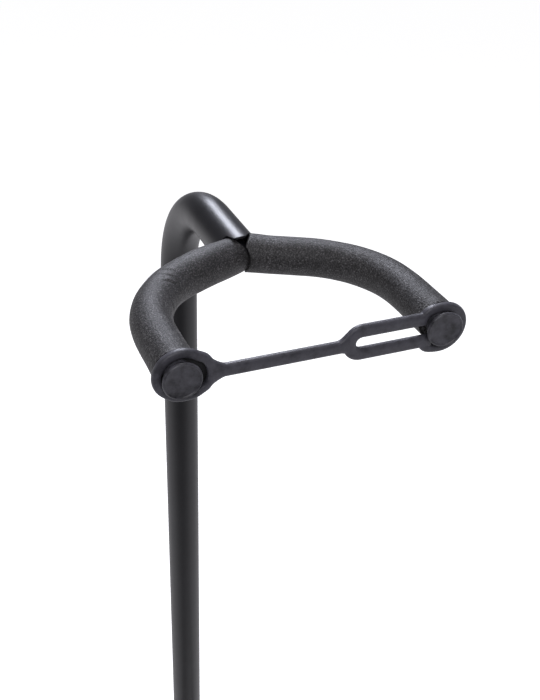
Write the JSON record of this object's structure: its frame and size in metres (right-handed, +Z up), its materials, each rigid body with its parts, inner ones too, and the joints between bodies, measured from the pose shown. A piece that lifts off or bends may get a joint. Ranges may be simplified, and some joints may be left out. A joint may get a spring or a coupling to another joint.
{
  "type": "guitar stand",
  "caption": "Folding tubular guitar stand with tripod legs, a sliding gooseneck upright, a padded body cradle and a padded neck yoke closed by a rubber strap.",
  "frame": {"origin": "on the floor, under the middle of the stand's box", "axes": "+Z up, -Y is the front where the instrument stands, +X to the right seen from behind"},
  "size_m": [0.443, 0.4562, 0.8105],
  "materials": {
    "black_paint": "satin black powder coat",
    "rod_paint": "satin black powder coat",
    "foam": "charcoal closed-cell foam, matt and slightly mottled",
    "strap_rubber": "dark bluish-grey moulded rubber, matt",
    "cap_rubber": "dark bluish-grey moulded rubber, matt",
    "foot_rubber": "black moulded rubber, matt",
    "nylon": "black moulded nylon, fine grain",
    "knob_nylon": "black moulded nylon, fine grain",
    "zinc": "zinc-plated steel",
    "brass": "plain brass"
  },
  "bodies": {
    "base": {"outer_tube": "black_paint", "tube_plug": "nylon", "hub": "nylon", "hub_screw": "zinc", "clutch_body": "nylon", "clutch_pad": "brass", "saddle_cap": "nylon", "saddle_screw_1": "zinc", "saddle_screw_2": "zinc", "saddle_screw_3": "zinc", "saddle_screw_4": "zinc", "leg_pin_rear": "zinc", "leg_pin_left": "zinc", "leg_pin_right": "zinc"},
    "neck": {"neck_tube": "black_paint", "neck_end_boss": "black_paint", "guide_bush": "nylon", "yoke_rod": "rod_paint", "yoke_foam_left": "foam", "yoke_foam_right": "foam", "yoke_cap_left": "cap_rubber", "yoke_cap_right": "cap_rubber", "strap_eyelet": "strap_rubber"},
    "strap": {"strap_band": "strap_rubber"},
    "knob": {"lock_knob": "knob_nylon", "knob_stud": "zinc"},
    "cradle": {"cradle_tube": "black_paint", "cradle_stop_pin": "zinc", "cradle_foam_left": "foam", "cradle_foam_right": "foam", "cradle_cap_left": "cap_rubber", "cradle_cap_right": "cap_rubber"},
    "leg_rear": {"leg_tube_rear": "black_paint", "leg_knuckle_rear": "nylon", "foot_rear": "foot_rubber"},
    "leg_left": {"leg_tube_left": "black_paint", "leg_knuckle_left": "nylon", "foot_left": "foot_rubber"},
    "leg_right": {"leg_tube_right": "black_paint", "leg_knuckle_right": "nylon", "foot_right": "foot_rubber"}
  },
  "joints": [
    {"name": "height_slide", "type": "slide", "parent": "base", "child": "neck", "axis": [0, 0, 1], "range_m": [-0.114, 0.056]},
    {"name": "strap_swing", "type": "hinge", "parent": "neck", "child": "strap", "pos_m": [-0.034, -0.19153, 0.7981], "axis": [0.0198, 0, -0.9998], "range_deg": [0, 90]},
    {"name": "knob_turn", "type": "hinge", "parent": "base", "child": "knob", "pos_m": [0, 0.00443, 0.3325], "axis": [0, 1, 0], "range_deg": [0, 360]},
    {"name": "cradle_fold", "type": "hinge", "parent": "base", "child": "cradle", "pos_m": [0, -0.05972, 0.19], "axis": [-1, 0, 0], "range_deg": [0, 95]},
    {"name": "leg_fold_rear", "type": "hinge", "parent": "base", "child": "leg_rear", "pos_m": [0, 0.00613, 0.155], "axis": [-1, 0, 0], "range_deg": [0, 54]},
    {"name": "leg_fold_left", "type": "hinge", "parent": "base", "child": "leg_left", "pos_m": [-0.02745, -0.04142, 0.155], "axis": [0.5, -0.866, 0], "range_deg": [0, 54]},
    {"name": "leg_fold_right", "type": "hinge", "parent": "base", "child": "leg_right", "pos_m": [0.02745, -0.04142, 0.155], "axis": [0.5, 0.866, 0], "range_deg": [0, 54]}
  ]
}
